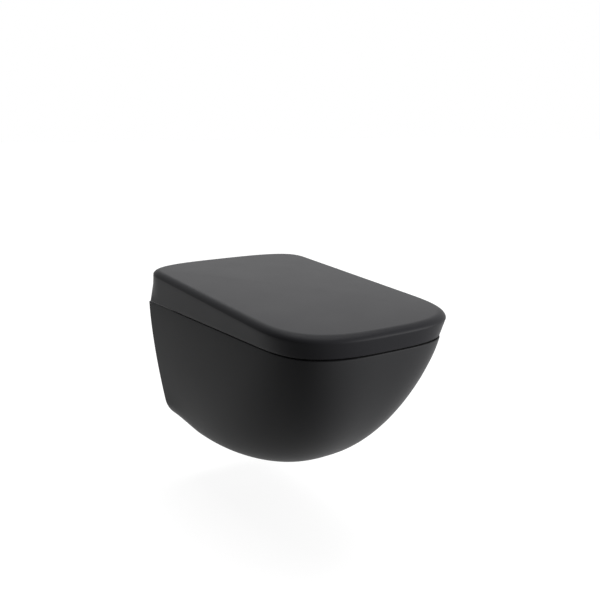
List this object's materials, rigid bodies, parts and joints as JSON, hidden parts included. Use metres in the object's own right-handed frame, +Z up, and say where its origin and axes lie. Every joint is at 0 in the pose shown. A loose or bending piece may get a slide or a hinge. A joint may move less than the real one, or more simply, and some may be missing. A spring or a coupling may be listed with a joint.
{
  "type": "wall hung toilet",
  "caption": "Dark wall hung toilet: rounded ceramic pan with soft-close seat and wedge shaped lid on quick-release hinges, fixed to the wall by hidden brackets.",
  "frame": {"origin": "on the wall plane, midway between the two wall studs, 80 mm below the pan's rim", "axes": "+Z up, +X to the right for somebody facing the wall, +Y into the wall, so the pan reaches out along -Y"},
  "size_m": [0.36, 0.577, 0.3525],
  "materials": {
    "glaze": "dark satin glaze",
    "duroplast": "dark satin duroplast",
    "buffer_rubber": "matte",
    "sealing_rubber": "matte",
    "stainless_steel": "brushed",
    "zinc_steel": "zinc plated",
    "brass": "turned",
    "hinge_plastic": "fine spark texture",
    "damper_plastic": "moulded acetal",
    "button_plastic": "moulded",
    "sleeve_plastic": "moulded nylon"
  },
  "bodies": {
    "root": {"ceramic_pan": "glaze", "inlet_seal": "sealing_rubber", "hinge_post_left": "stainless_steel", "hinge_post_right": "stainless_steel", "hinge_rosette_left": "stainless_steel", "hinge_rosette_right": "stainless_steel", "rosette_gasket_left": "buffer_rubber", "rosette_gasket_right": "buffer_rubber", "rubber_plugs": "sealing_rubber", "cone_nuts": "brass", "fixing_studs": "stainless_steel", "wall_bracket_left": "zinc_steel", "wall_bracket_right": "zinc_steel", "bracket_sleeve_left": "sleeve_plastic", "bracket_sleeve_right": "sleeve_plastic", "bracket_screws": "stainless_steel", "bracket_nuts": "stainless_steel"},
    "hinge_carrier": {"hinge_block_left": "hinge_plastic", "hinge_block_right": "hinge_plastic", "lid_damper": "damper_plastic", "seat_damper": "damper_plastic", "retaining_clip_left": "stainless_steel", "retaining_clip_right": "stainless_steel"},
    "seat": {"seat_ring": "duroplast", "seat_buffers": "buffer_rubber", "seat_bush": "damper_plastic", "seat_damper_shaft": "stainless_steel"},
    "lid": {"lid_shell": "duroplast", "lid_buffers": "buffer_rubber", "lid_bush": "damper_plastic", "lid_damper_shaft": "stainless_steel"},
    "button_left": {"release_button_left": "button_plastic"},
    "button_right": {"release_button_right": "button_plastic"}
  },
  "joints": [
    {"name": "seat_lift", "type": "slide", "parent": "root", "child": "hinge_carrier", "axis": [0, 0, 1], "range_m": [0, 0.028], "deforming": ["retaining_clip_left", "retaining_clip_right"]},
    {"name": "seat_hinge", "type": "hinge", "parent": "hinge_carrier", "child": "seat", "pos_m": [0, -0.05, 0.126], "axis": [1, 0, 0], "range_deg": [-93, 0]},
    {"name": "lid_hinge", "type": "hinge", "parent": "seat", "child": "lid", "pos_m": [0, -0.05, 0.126], "axis": [-1, 0, 0], "range_deg": [0, 93]},
    {"name": "button_left", "type": "slide", "parent": "hinge_carrier", "child": "button_left", "axis": [0, 1, 0], "range_m": [0, 0.003], "stiffness_N_per_m": 400, "deforming": ["retaining_clip_left"]},
    {"name": "button_right", "type": "slide", "parent": "hinge_carrier", "child": "button_right", "axis": [0, 1, 0], "range_m": [0, 0.003], "stiffness_N_per_m": 400, "deforming": ["retaining_clip_right"]}
  ]
}
